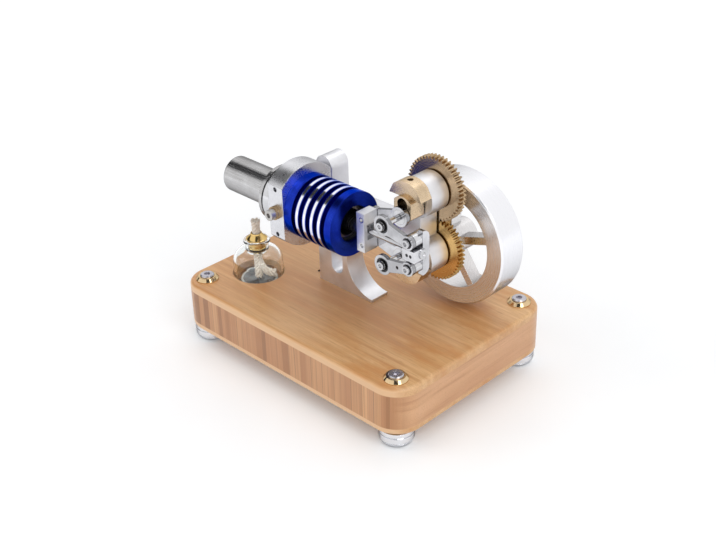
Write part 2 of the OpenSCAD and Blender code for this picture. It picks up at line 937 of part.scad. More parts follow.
module upper_gear() {
    gear_at(high_z, 270 + 180 / tooth_count);
}

// Outline of a counterweight: a part disc with a flat facet at each side
module weight_outline() {
    intersection() {
        circle(r = weight_radius);
        translate([-weight_radius, weight_flat])
            square([2 * weight_radius, weight_radius]);
        weight_band(-1);
        weight_band(1);
    }
}

// The band between two parallel facets
module weight_band(side) {
    rotate(side * facet_turn)
        square([2 * weight_facet, 4 * weight_facet], center = true);
}

// A crank with its counterweight upwards: an eccentric hub and a part disc
module crank_shape() {
    weight_front = axis_y + hub_front + hub_nose;
    back = axis_y + hub_back;
    color("Goldenrod")
        difference() {
            union() {
                intersection() {
                    disc_y(0, -hub_offset, axis_y + hub_front, back, hub_radius);
                    translate([-hub_half, axis_y + hub_front, -hub_offset - hub_radius])
                        cube([2 * hub_half, back - axis_y - hub_front, 2 * hub_radius]);
                }
                plate_y(weight_front, back)
                    weight_outline();
            }
            disc_y(0, 0, axis_y + hub_front - cut, back + cut, shaft_radius);
            disc_y(0, -crank_throw, axis_y + hub_front - cut, back + cut, pin_radius);
            translate([0, (weight_front + back) / 2, 0])
                cylinder(h = weight_radius + cut, r = set_screw_radius);
        }
}

// A crank on a shaft; way is +1 with the counterweight upwards and -1 downwards
module crank_at(z, way) {
    translate([shaft_x, 0, z])
        rotate([0, way > 0 ? 0 : 180, 0])
            crank_shape();
}

module set_screw_at(z, way) {
    screw_y = (axis_y + hub_front + hub_nose + axis_y + hub_back) / 2;
    color("DimGray")
        translate([shaft_x, screw_y, z])
            rotate([0, way > 0 ? 0 : 180, 0])
                translate([0, 0, shaft_radius])
                    difference() {
                        cylinder(h = set_screw_length, r = set_screw_radius);
                        translate([0, 0, set_screw_length / 2])
                            cylinder(h = set_screw_length, r = set_screw_radius / 2, $fn = 6);
                    }
}

module crankpin_at(z, way) {
    color("Silver")
        disc_y(shaft_x, z - way * crank_throw, axis_y + hub_front, axis_y + hub_back, pin_radius);
}

module lower_shaft() {
    color("Silver")
        disc_y(shaft_x, low_z, axis_y + hub_front + shaft_recess,
            wheel_front - wheel_hub_nose + wheel_hub_length + gear_gap, shaft_radius);
}

module upper_shaft() {
    color("Silver")
        disc_y(shaft_x, high_z, axis_y + hub_front + shaft_recess,
            gear_back + gear_hub_length + gear_gap, shaft_radius);
}

module lower_crank() {
    crank_at(low_z, -1);
}

module upper_crank() {
    crank_at(high_z, 1);
}

module lower_set_screw() {
    set_screw_at(low_z, -1);
}

module upper_set_screw() {
    set_screw_at(high_z, 1);
}

module lower_crankpin() {
    crankpin_at(low_z, -1);
}

module upper_crankpin() {
    crankpin_at(high_z, 1);
}

// Outline of the rim, as radius against distance from its front face
module rim_profile() {
    polygon([
        [rim_inner, 0],
        [wheel_radius - rim_edge, 0],
        [wheel_radius, rim_edge],
        [wheel_radius, rim_width - rim_edge],
        [wheel_radius - rim_edge, rim_width],
        [rim_inner, rim_width]
    ]);
}

module flywheel() {
    hub_y = wheel_front - wheel_hub_nose;
    spoke_y = wheel_front + spoke_set;
    color("Gainsboro")
        difference() {
            union() {
                translate([shaft_x, wheel_front, low_z])
                    rotate([-90, 0, 0])
                        rotate_extrude()
                            rim_profile();
                disc_y(shaft_x, low_z, hub_y, hub_y + wheel_hub_length, wheel_hub_radius);
                for (k = [0 : spoke_count - 1])
                    plate_y(spoke_y, spoke_y + spoke_thick)
                        translate([shaft_x, low_z])
                            rotate(spoke_turn + k * 360 / spoke_count)
                                translate([shaft_radius + spoke_width / 2, -spoke_width / 2])
                                    square([rim_inner + rim_edge - shaft_radius - spoke_width / 2, spoke_width]);
            }
            disc_y(shaft_x, low_z, hub_y - cut, hub_y + wheel_hub_length + cut, shaft_radius);
            translate([shaft_x, wheel_front - wheel_hub_nose / 4, low_z])
                cylinder(h = wheel_hub_radius + cut, r = wheel_hub_nose / 3);
        }
}

module flywheel_screw() {
    color("DimGray")
        translate([shaft_x, wheel_front - wheel_hub_nose / 4, low_z + shaft_radius])
            difference() {
                cylinder(h = wheel_hub_radius - shaft_radius - rim_edge, r = wheel_hub_nose / 3);
                translate([0, 0, rim_edge + wheel_hub_radius / 4])
                    cylinder(h = wheel_hub_radius, r = wheel_hub_nose / 6, $fn = 6);
            }
}

module power_piston() {
    color("SlateGray")
        difference() {
            union() {
                difference() {
                    disc_x(piston_place, piston_end, cylinder_bore - running_gap);
                    disc_x(piston_place + piston_crown, piston_end + cut, cylinder_bore - running_gap - piston_skirt);
                }
                disc_x(piston_place, yoke_left, neck_radius);
            }
            disc_x(piston_place - cut, piston_place + piston_crown, rod_radius + running_gap);
            disc_x(piston_place + piston_crown, yoke_left + cut, rod_radius + free_gap + running_gap);
        }
}

module piston_yoke() {
    color("Silver")
        difference() {
            translate([yoke_left, axis_y - yoke_layer, axis_z - yoke_half_height])
                cube([yoke_thick, 2 * yoke_layer, 2 * yoke_half_height]);
            disc_x(yoke_left - cut, yoke_right + cut, rod_radius + free_gap + running_gap);
            translate([yoke_right - yoke_pocket_depth, axis_y - yoke_layer / 2, axis_z - yoke_pocket_half])
                cube([yoke_pocket_depth + cut, yoke_layer, 2 * yoke_pocket_half]);
            for (side = [-1, 1])
                disc_y(piston_pin_x, axis_z + side * pin_spread,
                    axis_y - yoke_layer - cut, axis_y + yoke_layer + cut, pin_radius);
        }
}

module piston_pins() {
    color("Gray")
        for (side = [-1, 1])
            difference() {
                disc_y(piston_pin_x, axis_z + side * pin_spread,
                    axis_y - yoke_layer, axis_y + short_back, pin_radius);
                socket_y(piston_pin_x, axis_z + side * pin_spread, axis_y - yoke_layer,
                    link_socket, link_socket_depth);
            }
}

// Outline of a link with its yoke end at zero and its crank end at a reach and a rise
module link_outline(reach, rise) {
    circle(r = link_small);
    translate([reach, rise])
        circle(r = link_big);
    rotate(atan2(rise, reach))
        polygon([
            [0, -waist_small],
            [link_length, -waist_big],
            [link_length, waist_big],
            [0, waist_small]
        ]);
}

// A link; hand is +1 for the yoke end left of the crank and side is +1 for the upper one
module link_at(pin_x, hand, side, from_y, to_y, extra) {
    color("Silver")
        difference() {
            plate_y(axis_y + from_y, axis_y + to_y)
                translate([pin_x, axis_z + side * pin_spread])
                    difference() {
                        link_outline(hand * link_reach, side * link_drop);
                        circle(r = small_bearing_radius);
                        translate([hand * link_reach, side * link_drop])
                            circle(r = big_bearing_radius);
                    }
            if (extra)
                disc_y(pin_x + hand * extra_hole_place, axis_z + side * (pin_spread + link_drop * extra_hole_place / link_reach),
                    axis_y + from_y - cut, axis_y + to_y + cut, extra_hole_radius);
        }
}

// The two bearing rings of a link: free on the yoke's pin, tight on the crank bolt
module link_rings(pin_x, hand, side, from_y, to_y) {
    color("DarkGray")
        plate_y(axis_y + from_y, axis_y + to_y)
            translate([pin_x, axis_z + side * pin_spread])
                union() {
                    difference() {
                        circle(r = small_bearing_radius);
                        circle(r = pin_radius + running_gap);
                    }
                    translate([hand * link_reach, side * link_drop])
                        difference() {
                            circle(r = big_bearing_radius);
                            circle(r = pin_radius);
                        }
                }
}

module short_pin_at(side) {
    color("Gray")
        disc_y(shaft_x, axis_z + side * pin_rest, axis_y + short_front, axis_y + short_back, pin_radius);
}

// A crank bolt: head, collar and a shank that ends just in front of the short link
module long_bolt_at(side) {
    z = axis_z + side * pin_rest;
    collar_y = axis_y + long_front - collar_thick;
    head_y = collar_y - link_head_height;
    color("Gray")
        difference() {
            union() {
                disc_y(shaft_x, z, head_y, collar_y, link_head_radius);
                disc_y(shaft_x, z, collar_y, axis_y + long_front, collar_radius);
                disc_y(shaft_x, z, axis_y + long_front, axis_y + yoke_layer, pin_radius);
            }
            socket_y(shaft_x, z, head_y, link_socket, link_socket_depth);
        }
}

module short_link_upper() {
    link_at(piston_pin_x, 1, 1, short_front, short_back, false);
}

module short_link_lower() {
    link_at(piston_pin_x, 1, -1, short_front, short_back, false);
}

module long_link_upper() {
    link_at(displacer_pin_x, -1, 1, long_front, long_back, false);
}

module long_link_lower() {
    link_at(displacer_pin_x, -1, -1, long_front, long_back, true);
}

module short_bearings_upper() {
    link_rings(piston_pin_x, 1, 1, short_front, short_back);
}

module short_bearings_lower() {
    link_rings(piston_pin_x, 1, -1, short_front, short_back);
}

module long_bearings_upper() {
    link_rings(displacer_pin_x, -1, 1, long_front, long_back);
}

module long_bearings_lower() {
    link_rings(displacer_pin_x, -1, -1, long_front, long_back);
}

module short_pin_upper() {
    short_pin_at(1);
}

module short_pin_lower() {
    short_pin_at(-1);
}

module long_bolt_upper() {
    long_bolt_at(1);
}

module long_bolt_lower() {
    long_bolt_at(-1);
}

module displacer() {
    color("DarkGray")
        difference() {
            disc_x(displacer_left, displacer_right, displacer_radius);
            disc_x(displacer_right - piston_crown, displacer_right + cut, rod_radius);
        }
}

module displacer_rod() {
    color("Silver")
        disc_x(displacer_right - piston_crown, plate_right, rod_radius);
}

// Outline of the displacer yoke's plate and lugs, seen from the front
module yoke_outline() {
    translate([plate_left, -plate_half_height])
        square([plate_thick, 2 * plate_half_height]);
    for (side = [-1, 1])
        translate([displacer_pin_x, side * pin_spread])
            circle(r = lug_radius);
    translate([displacer_pin_x - lug_radius / 2, -pin_spread])
        square([plate_right - displacer_pin_x, 2 * pin_spread]);
}

// The displacer yoke's outline seen along the cylinder, with rounded back corners
module yoke_end_outline() {
    inner = plate_half_height - plate_corner;
    translate([0, -plate_half_height])
        square([yoke_layer - plate_corner, 2 * plate_half_height]);
    translate([0, -inner])
        square([yoke_layer, 2 * inner]);
    for (side = [-1, 1])
        translate([yoke_layer - plate_corner, side * inner])
            circle(r = plate_corner);
}

module displacer_yoke() {
    color("Silver")
        difference() {
            union() {
                intersection() {
                    translate([0, 0, axis_z])
                        plate_y(axis_y, axis_y + yoke_layer)
                            yoke_outline();
                    translate([displacer_pin_x - lug_radius - cut, axis_y, axis_z])
                        rotate([90, 0, 90])
                            linear_extrude(height = plate_reach + lug_radius + 2 * cut)
                                yoke_end_outline();
                }
                translate([crosshead_left, axis_y - crosshead_front, axis_z - crosshead_half])
                    cube([crosshead_length, crosshead_front + yoke_layer, 2 * crosshead_half]);
            }
            disc_x(crosshead_left - cut, plate_right + cut, rod_radius);
            for (side = [-1, 1])
                disc_y(displacer_pin_x, axis_z + side * pin_spread,
                    axis_y - cut, axis_y + yoke_layer + cut, pin_radius);
            for (share = clamp_shares)
                disc_y(crosshead_left + share * crosshead_length, axis_z,
                    axis_y - crosshead_front - cut, axis_y - rod_radius, clamp_screw_radius);
        }
}

module clamp_screws() {
    color("DimGray")
        for (share = clamp_shares)
            disc_y(crosshead_left + share * crosshead_length, axis_z,
                axis_y - crosshead_front + clamp_screw_radius / 2, axis_y - rod_radius, clamp_screw_radius);
}

module displacer_pins() {
    head_back = axis_y + long_front - free_gap;
    head_front = head_back - link_head_height;
    color("Gray")
        for (side = [-1, 1])
            difference() {
                union() {
                    disc_y(displacer_pin_x, axis_z + side * pin_spread, head_front, head_back, link_head_radius);
                    disc_y(displacer_pin_x, axis_z + side * pin_spread, head_back, axis_y + yoke_layer, pin_radius);
                }
                socket_y(displacer_pin_x, axis_z + side * pin_spread, head_front, link_socket, link_socket_depth);
            }
}

module pin_spacers() {
    color("WhiteSmoke")
        for (side = [-1, 1])
            difference() {
                disc_y(displacer_pin_x, axis_z + side * pin_spread,
                    axis_y - yoke_layer, axis_y, pin_spacer_radius);
                disc_y(displacer_pin_x, axis_z + side * pin_spread,
                    axis_y - yoke_layer - cut, axis_y + cut, pin_radius);
            }
}

module rod_end_screw() {
    color("Gray")
        difference() {
            disc_x(plate_right, plate_right + end_screw_height, end_screw_radius);
            translate([plate_right + end_screw_height / 2, axis_y, axis_z])
                rotate([0, 90, 0])
                    cylinder(h = end_screw_height / 2 + cut, r = link_socket / 2, $fn = 6);
        }
}

base();
feet();
cup_washers();
corner_screws();
bracket();
hot_block();
spacer_ring();
gasket();
hot_cap();
plug_bush();
plug_screw();
cooler();
cylinder_liner();
shaft_bearings();
burner_glass();
burner_collar();
burner_wick();
lower_shaft();
lower_gear();
lower_crank();
lower_set_screw();
lower_crankpin();
flywheel();
flywheel_screw();
upper_shaft();
upper_gear();
upper_crank();
upper_set_screw();
upper_crankpin();
power_piston();
piston_yoke();
piston_pins();
short_link_upper();
short_bearings_upper();
short_pin_upper();
short_link_lower();
short_bearings_lower();
short_pin_lower();
displacer();
displacer_rod();
displacer_yoke();
displacer_pins();
pin_spacers();
rod_end_screw();
clamp_screws();
long_link_upper();
long_bearings_upper();
long_bolt_upper();
long_link_lower();
long_bearings_lower();
long_bolt_lower();
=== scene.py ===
import json
import math
import random

import bmesh
import bpy
from mathutils import Matrix, Vector


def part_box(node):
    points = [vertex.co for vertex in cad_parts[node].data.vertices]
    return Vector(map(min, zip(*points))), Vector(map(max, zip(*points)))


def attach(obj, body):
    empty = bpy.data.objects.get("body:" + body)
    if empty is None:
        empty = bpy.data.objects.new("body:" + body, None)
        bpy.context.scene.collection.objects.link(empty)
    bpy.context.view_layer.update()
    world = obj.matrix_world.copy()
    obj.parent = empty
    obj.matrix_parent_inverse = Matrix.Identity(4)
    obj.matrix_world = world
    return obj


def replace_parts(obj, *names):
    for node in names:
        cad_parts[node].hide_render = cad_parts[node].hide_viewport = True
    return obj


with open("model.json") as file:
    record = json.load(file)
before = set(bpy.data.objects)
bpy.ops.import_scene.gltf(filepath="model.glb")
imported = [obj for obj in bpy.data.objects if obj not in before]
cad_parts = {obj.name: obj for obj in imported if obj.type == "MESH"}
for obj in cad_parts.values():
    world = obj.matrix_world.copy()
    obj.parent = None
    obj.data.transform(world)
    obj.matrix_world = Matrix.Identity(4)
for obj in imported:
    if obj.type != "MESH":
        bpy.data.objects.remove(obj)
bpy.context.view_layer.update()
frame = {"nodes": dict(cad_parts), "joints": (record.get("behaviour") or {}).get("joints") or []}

# Places of the construction, in metres, from the frame
MM = 0.001
joint_place = {joint["name"]: joint["pos_m"] for joint in frame["joints"]}
LOW, HIGH = joint_place["flywheel_spin"], joint_place["upper_crank_spin"]
CYLINDER = joint_place["piston_slide"]
POCKET = joint_place["burner_lift"]
BASE_TOP = POCKET[2]
BASE_LOW, BASE_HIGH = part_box("base")
BRACKET_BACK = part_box("bracket")[1].y
SHAFT_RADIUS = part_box("upper_shaft")[1].x - HIGH[0]
FLYWHEEL_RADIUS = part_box("flywheel")[1].x - LOW[0]
COOLER_LOW, COOLER_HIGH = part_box("cooler")
COOLER_RADIUS = COOLER_HIGH.y - CYLINDER[1]
GLASS_FOOT, GLASS_MOUTH = (corner.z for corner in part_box("burner_glass"))
WICK_FOOT, WICK_TIP = (corner.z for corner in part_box("burner_wick"))

# The long links' bolts at rest: over the lower shaft and under the upper one
CRANK_THROW = 5.6 * MM
LOW_BOLT = (LOW[0], 0, LOW[2] + CRANK_THROW)
HIGH_BOLT = (HIGH[0], 0, HIGH[2] - CRANK_THROW)

# Camera, fitted to the photo
AZIMUTH, ELEVATION, ROLL = (math.radians(angle) for angle in (45.461, 29.751, -1.710))
LOOK_AT = Vector((-15.14 * MM, 14.14 * MM, BASE_TOP))
DISTANCE = 639.4 * MM
FOCAL_PIXELS, IMAGE_PIXELS = 1205.47, 716
SENSOR = 36


def photo_camera():
    """Camera at the photo's angle, distance, roll and focal length."""
    level = math.cos(ELEVATION)
    toward = Vector((math.sin(AZIMUTH) * level, -math.cos(AZIMUTH) * level, math.sin(ELEVATION)))
    right = (-toward).cross(Vector((0, 0, 1))).normalized()
    up = right.cross(-toward)
    rolled_right = right * math.cos(ROLL) + up * math.sin(ROLL)
    rolled_up = up * math.cos(ROLL) - right * math.sin(ROLL)
    turn = Matrix((rolled_right, rolled_up, toward)).transposed().to_4x4()
    camera = bpy.data.objects.new("camera", bpy.data.cameras.new("camera"))
    bpy.context.scene.collection.objects.link(camera)
    camera.matrix_world = Matrix.Translation(LOOK_AT + toward * DISTANCE) @ turn
    camera.data.sensor_width = SENSOR
    camera.data.lens = FOCAL_PIXELS / IMAGE_PIXELS * SENSOR
    camera.data.clip_start = 10 * MM
    return camera


bpy.context.scene.camera = photo_camera()


class Mat:
    """A node material built from small steps, which take sockets or plain values."""

    def __init__(self, name, color, metallic, roughness, **more):
        self.material = bpy.data.materials.new(name)
        self.material.use_nodes = True
        self.tree = self.material.node_tree
        self.shader = self.tree.nodes["Principled BSDF"]
        self.set("Base Color", (*color, 1))
        self.set("Metallic", metallic)
        self.set("Roughness", roughness)
        for key, value in more.items():
            self.set(key.replace("_", " "), value)
        self.place = self.node("ShaderNodeTexCoord").outputs["Object"]

    def node(self, kind, **props):
        """A new node with its settings."""
        new = self.tree.nodes.new(kind)
        for key, value in props.items():
            setattr(new, key, value)
        return new

    def put(self, socket, value):
        """Link a socket, or set a plain value."""
        if isinstance(value, bpy.types.NodeSocket):
            self.tree.links.new(value, socket)
        else:
            socket.default_value = value

    def set(self, name, value):
        """Set one of the shader's own values."""
        self.put(self.shader.inputs[name], value)

    def tint(self, amount, color):
        """Mix the base colour so far towards another."""
        body = self.shader.inputs["Base Color"].links[0].from_socket
        self.set("Base Color", self.mix(amount, body, color))

    def math(self, operation, a, b=0.0):
        """One step of arithmetic."""
        new = self.node("ShaderNodeMath", operation=operation)
        self.put(new.inputs[0], a)
        self.put(new.inputs[1], b)
        return new.outputs[0]

    def xyz(self):
        """The three coordinates of the surface point."""
        new = self.node("ShaderNodeSeparateXYZ")
        self.put(new.inputs[0], self.place)
        return new.outputs

    def away(self, along, centre):
        """Distance from a line through centre, along 'x', 'y' or 'z'."""
        point = self.xyz()
        squares = []
        for i in range(3):
            if "xyz"[i] != along:
                side = self.math("SUBTRACT", point[i], centre[i])
                squares.append(self.math("MULTIPLY", side, side))
        return self.math("SQRT", self.math("ADD", *squares))

    def normal(self):
        """The sizes of the normal's three parts, without sign."""
        new = self.node("ShaderNodeSeparateXYZ")
        self.put(new.inputs[0], self.node("ShaderNodeTexCoord").outputs["Normal"])
        return [self.math("ABSOLUTE", part) for part in new.outputs]

    def stretch(self, x, y, z):
        """The surface point with each coordinate scaled, for grain and brushed lines."""
        new = self.node("ShaderNodeMapping")
        self.put(new.inputs["Vector"], self.place)
        new.inputs["Scale"].default_value = (x, y, z)
        return new.outputs[0]

    def noise(self, scale, detail=3.0, rough=0.5, vector=None):
        """Cloudy noise from 0 to 1, at the surface point or another vector."""
        new = self.node("ShaderNodeTexNoise")
        self.put(new.inputs["Vector"], vector or self.place)
        new.inputs["Scale"].default_value = scale
        new.inputs["Detail"].default_value = detail
        new.inputs["Roughness"].default_value = rough
        return new.outputs[0]

    def rings(self, value, pitch):
        """Fine lathe lines that follow a value, a pitch apart."""
        new = self.node("ShaderNodeCombineXYZ")
        self.put(new.inputs[0], self.math("MULTIPLY", value, 1 / pitch))
        return self.noise(1.0, 2, 0.7, new.outputs[0])

    def random(self, value):
        """A random number for each whole value."""
        new = self.node("ShaderNodeTexWhiteNoise", noise_dimensions="1D")
        self.put(new.inputs["W"], value)
        return new.outputs["Value"]

    def span(self, value, low, high, to_low=0.0, to_high=1.0):
        """A value between low and high, spread over to_low and to_high."""
        new = self.node("ShaderNodeMapRange", clamp=True)
        for i, part in enumerate((value, low, high, to_low, to_high)):
            self.put(new.inputs[i], part)
        return new.outputs[0]

    def ramp(self, value, *stops):
        """A colour ramp; the first two stops are its ends."""
        new = self.node("ShaderNodeValToRGB")
        self.put(new.inputs[0], value)
        elements = new.color_ramp.elements
        for i, (at, color) in enumerate(stops):
            stop = elements[i] if i < 2 else elements.new(at)
            stop.position = at
            stop.color = (*color, 1)
        return new.outputs[0]

    def mix(self, amount, a, b):
        """Colour a at amount 0 and colour b at amount 1."""
        new = self.node("ShaderNodeMix", data_type="RGBA")
        self.put(new.inputs[0], amount)
        self.put(new.inputs[6], a if isinstance(a, bpy.types.NodeSocket) else (*a, 1))
        self.put(new.inputs[7], b if isinstance(b, bpy.types.NodeSocket) else (*b, 1))
        return new.outputs[2]

    def bump(self, height, distance, strength=1.0, edge=0.0):
        """Bump from a height, and edges rounded by a radius."""
        new = self.node("ShaderNodeBump")
        new.inputs["Distance"].default_value = distance
        new.inputs["Strength"].default_value = strength
        self.put(new.inputs["Height"], height)
        if edge:
            bevel = self.node("ShaderNodeBevel", samples=4)
            bevel.inputs["Radius"].default_value = edge
            self.put(new.inputs["Normal"], bevel.outputs[0])
        self.set("Normal", new.outputs[0])


def shine(m, color, cloud, wear, rim=0.6):
    """Metal colour with cloudy wear; rim dulls the sheen at grazing angles."""
    worn = tuple(part * (1 - wear) for part in color)
    m.set("Base Color", m.mix(m.span(cloud, 0.35, 0.7), worn, color))
    m.set("Specular Tint", (1 - rim, 1 - rim, 1 - rim, 1))


def metal(name, color, rough, edge=0.25 * MM, fine=2600, lines=(1, 1, 1), wear=0.25, rim=0.6):
    """Machined metal: fine lines, cloudy shine and slightly darker places."""
    m = Mat(name, color, 1.0, rough)
    cloud = m.noise(90, 4, 0.6)
    line = m.noise(fine, 3, 0.6, m.stretch(*lines))
    shine(m, color, cloud, wear, rim)
    mixed = m.math("ADD", m.math("MULTIPLY", cloud, 0.5), m.math("MULTIPLY", line, 0.5))
    m.set("Roughness", m.span(mixed, 0.3, 0.7, rough * 0.75, rough * 1.3))
    m.bump(line, 0.004 * MM, 0.6, edge)
    return m


def brushed(name, color, rough, wear):
    """Metal with lines brushed upwards, for the links and their yokes."""
    return metal(name, color, rough, 0.25 * MM, 1500, (2.5, 1, 0.6), wear)


def turned(name, color, rough, centre, along, edge=0.2 * MM, pitch=0.35 * MM, wear=0.2):
    """Lathe-turned metal: rings round an axis through centre, along 'x', 'y' or 'z'."""
    m = Mat(name, color, 1.0, rough)
    travel = m.math("ADD", m.away(along, centre), m.xyz()["xyz".index(along)])
    ring = m.rings(travel, pitch)
    shine(m, color, m.noise(70, 4, 0.6), wear)
    m.set("Roughness", m.span(ring, 0.3, 0.7, rough * 0.75, rough * 1.3))
    m.bump(ring, 0.006 * MM, 0.6, edge)
    return m


# Laminated base: the glue lines under and over its core, the core's strips, and painted shade inside the
# small hole
LOWER_GLUE, UPPER_GLUE, GLUE = BASE_LOW.z + 3.55 * MM, BASE_HIGH.z - 4.25 * MM, 0.15 * MM
STRIP, WIDE_STRIP, STRIP_DRIFT = 3.9 * MM, 9.1 * MM, 5 * MM
SEAM = 0.09
HOLE, HOLE_EDGE, HOLE_SHADE = (-29.8 * MM, 0), 0.95 * MM, 1.1 * MM
FIGURE_START, FIGURE_FULL = 0, 50 * MM
END_START, END_FULL = BASE_HIGH.x - 17 * MM, BASE_HIGH.x - 5 * MM


def outer_plies(m, streak, fibre, dash):
    """Grain along X, with orange figure towards +X and paler rims along the two long sides."""
    broad = m.noise(1.0, 3, 0.55, m.stretch(6, 34, 34))
    color = m.ramp(broad, (0.34, (0.60, 0.27, 0.095)), (0.66, (0.78, 0.48, 0.23)),
                   (0.5, (0.68, 0.37, 0.155)))
    color = m.mix(m.span(streak, 0.52, 0.70, 0.0, 0.6), color, (0.84, 0.52, 0.26))
    color = m.mix(m.span(streak, 0.30, 0.47, 0.65, 0.0), color, (0.52, 0.22, 0.07))
    color = m.mix(m.span(fibre, 0.42, 0.62, 0.0, 0.36), color, (0.50, 0.25, 0.09))
    color = m.mix(m.span(dash, 0.57, 0.70, 0.0, 0.45), color, (0.42, 0.19, 0.06))
    curl = m.span(m.noise(1.0, 4, 0.65, m.stretch(38, 95, 95)), 0.47, 0.66, 0.0, 0.75)
    figured = m.math("MULTIPLY", m.span(m.xyz()[0], FIGURE_START, FIGURE_FULL), curl)
    color = m.mix(figured, color, (0.60, 0.26, 0.075))
    nx, _, nz = m.normal()
    rims = m.math("MULTIPLY", m.span(nz, 0.35, 0.85, 0.8, 0.0), m.span(nx, 0.6, 0.95, 1.0, 0.15))
    return m.mix(rims, color, (0.90, 0.58, 0.33))


def core_strips(m):
    """Upright strips of the core, each with its own tone, and dark glue between some of them."""
    x = m.xyz()[0]
    drift = m.math("MULTIPLY", m.noise(1.0, 1, 0.5, m.stretch(60, 60, 5)), STRIP_DRIFT)
    drifted = m.math("ADD", x, drift)
    cell = m.math("DIVIDE", drifted, STRIP)
    narrow = m.random(m.math("FLOOR", cell))
    wide_cell = m.math("FLOOR", m.math("DIVIDE", drifted, WIDE_STRIP))
    wide = m.random(m.math("ADD", wide_cell, 71.0))
    tone = m.math("ADD", m.math("MULTIPLY", narrow, 0.6), m.math("MULTIPLY", wide, 0.4))
    color = m.ramp(tone, (0.0, (0.32, 0.145, 0.065)), (1.0, (0.76, 0.42, 0.20)),
                   (0.17, (0.48, 0.22, 0.095)), (0.34, (0.58, 0.28, 0.13)), (0.6, (0.62, 0.315, 0.15)))
    upright_fibre = m.noise(1.0, 3, 0.6, m.stretch(900, 900, 14))
    color = m.mix(m.span(upright_fibre, 0.38, 0.66, 0.0, 0.5), color, (0.42, 0.19, 0.08))
    seam = m.math("LESS_THAN", m.math("FRACT", cell), SEAM)
    glued = m.math("MULTIPLY", seam, m.span(narrow, 0.45, 0.8, 0.0, 0.6))
    color = m.mix(glued, color, (0.24, 0.11, 0.05))
    return m.mix(m.span(x, END_START, END_FULL, 0.0, 0.5), color, (0.46, 0.20, 0.075))


def core_ends(m, dash):
    """The core seen on the short sides: level layers."""
    broad = m.noise(1.0, 2, 0.5, m.stretch(20, 14, 90))
    layer = m.noise(1.0, 4, 0.6, m.stretch(20, 16, 420))
    color = m.ramp(broad, (0.3, (0.64, 0.33, 0.16)), (0.7, (0.77, 0.44, 0.23)))
    color = m.mix(m.span(layer, 0.5, 0.72, 0.0, 0.6), color, (0.48, 0.21, 0.085))
    return m.mix(m.span(dash, 0.55, 0.70, 0.0, 0.4), color, (0.42, 0.18, 0.07))


def bamboo():
    """Outer plies with grain along X over and under a core of upright strips."""
    m = Mat("bamboo", (0.58, 0.31, 0.15), 0.0, 0.38, Coat_Weight=0.18, Coat_Roughness=0.22)
    streak = m.noise(1.0, 4, 0.6, m.stretch(12, 260, 260))
    fibre = m.noise(1.0, 3, 0.6, m.stretch(34, 1500, 1500))
    dash = m.noise(1.0, 2, 0.5, m.stretch(130, 2300, 2300))
    z = m.xyz()[2]
    above = m.span(z, LOWER_GLUE - GLUE, LOWER_GLUE + GLUE)
    below = m.span(z, UPPER_GLUE - GLUE, UPPER_GLUE + GLUE, 1.0, 0.0)
    core = m.mix(m.span(m.normal()[0], 0.55, 0.95), core_strips(m), core_ends(m, dash))
    plies = outer_plies(m, streak, fibre, dash)
    m.set("Base Color", m.mix(m.math("MULTIPLY", above, below), plies, core))
    # Painted shade inside the small hole
    m.tint(m.span(m.away("z", HOLE), HOLE_EDGE, HOLE_SHADE, 0.95, 0.0), (0.03, 0.015, 0.008))
    m.set("Roughness", m.span(streak, 0.3, 0.7, 0.3, 0.46))
    grain = m.math("ADD", streak, m.math("MULTIPLY", fibre, 0.4))
    m.bump(grain, 0.012 * MM, 0.4, 0.5 * MM)
    return m


def cap_steel():
    """Drawn steel tube: lengthwise scratches over a dull shine."""
    m = Mat("cap_steel", (0.5, 0.5, 0.5), 1.0, 0.22)
    cloud = m.noise(110, 4, 0.65)
    drawn = m.noise(1.0, 4, 0.7, m.stretch(70, 1900, 1900))
    m.set("Base Color", m.mix(m.span(cloud, 0.3, 0.7), (0.50, 0.49, 0.49), (0.64, 0.64, 0.65)))
    m.tint(m.span(drawn, 0.35, 0.62, 0.42, 0.0), (0.36, 0.35, 0.35))
    m.set("Specular Tint", (0.3, 0.3, 0.3, 1))
    m.set("Roughness", m.span(drawn, 0.3, 0.7, 0.17, 0.3))
    m.bump(drawn, 0.01 * MM, 0.6, 0.3 * MM)
    return m


TREAD_RADIUS = FLYWHEEL_RADIUS - 0.8 * MM


def flywheel_metal():
    """Machined disc: brighter tread, ring-cut face."""
    m = turned("flywheel_aluminium", (0.83, 0.81, 0.81), 0.26, LOW, "y", 0.3 * MM, 0.4 * MM, 0.1)
    m.tint(m.math("GREATER_THAN", m.away("y", LOW), TREAD_RADIUS), (0.90, 0.90, 0.93))
    return m


# Gears: the teeth darken from just inside their pitch circle outwards
PITCH_RADIUS = (HIGH[2] - LOW[2]) / 2
TOOTH_SHADE, TOOTH_FULL = PITCH_RADIUS - 0.65 * MM, PITCH_RADIUS - 0.25 * MM


def gear_brass(name, color, centre):
    """Ring-cut brass, darker over the teeth in patches."""
    m = turned(name, color, 0.24, centre, "y")
    tooth_patches = m.span(m.noise(260, 3, 0.6), 0.35, 0.65, 0.25, 0.6)
    teeth = m.math("MULTIPLY", m.span(m.away("y", centre), TOOTH_SHADE, TOOTH_FULL), tooth_patches)
    m.tint(teeth, tuple(part * 0.45 for part in color))
    return m


BRASS, PALE_BRASS = (0.80, 0.56, 0.22), (0.87, 0.67, 0.45)
# Painted shade inside the crank's bores, from just past the shafts' radius
BORE_PAINTED_SHADE, BORE_EDGE = SHAFT_RADIUS + 0.05 * MM, SHAFT_RADIUS + 0.2 * MM


def crank_brass():
    """Pale brass, with painted shade inside the bores round both shafts."""
    m = metal("crank_brass", PALE_BRASS, 0.27, 0.2 * MM, 1400, (1, 1, 2), 0.3)
    nearest = m.math("MINIMUM", m.away("y", LOW), m.away("y", HIGH))
    # Painted shade inside the bores
    m.tint(m.span(nearest, BORE_PAINTED_SHADE, BORE_EDGE, 0.85, 0.0), (0.05, 0.035, 0.02))
    return m


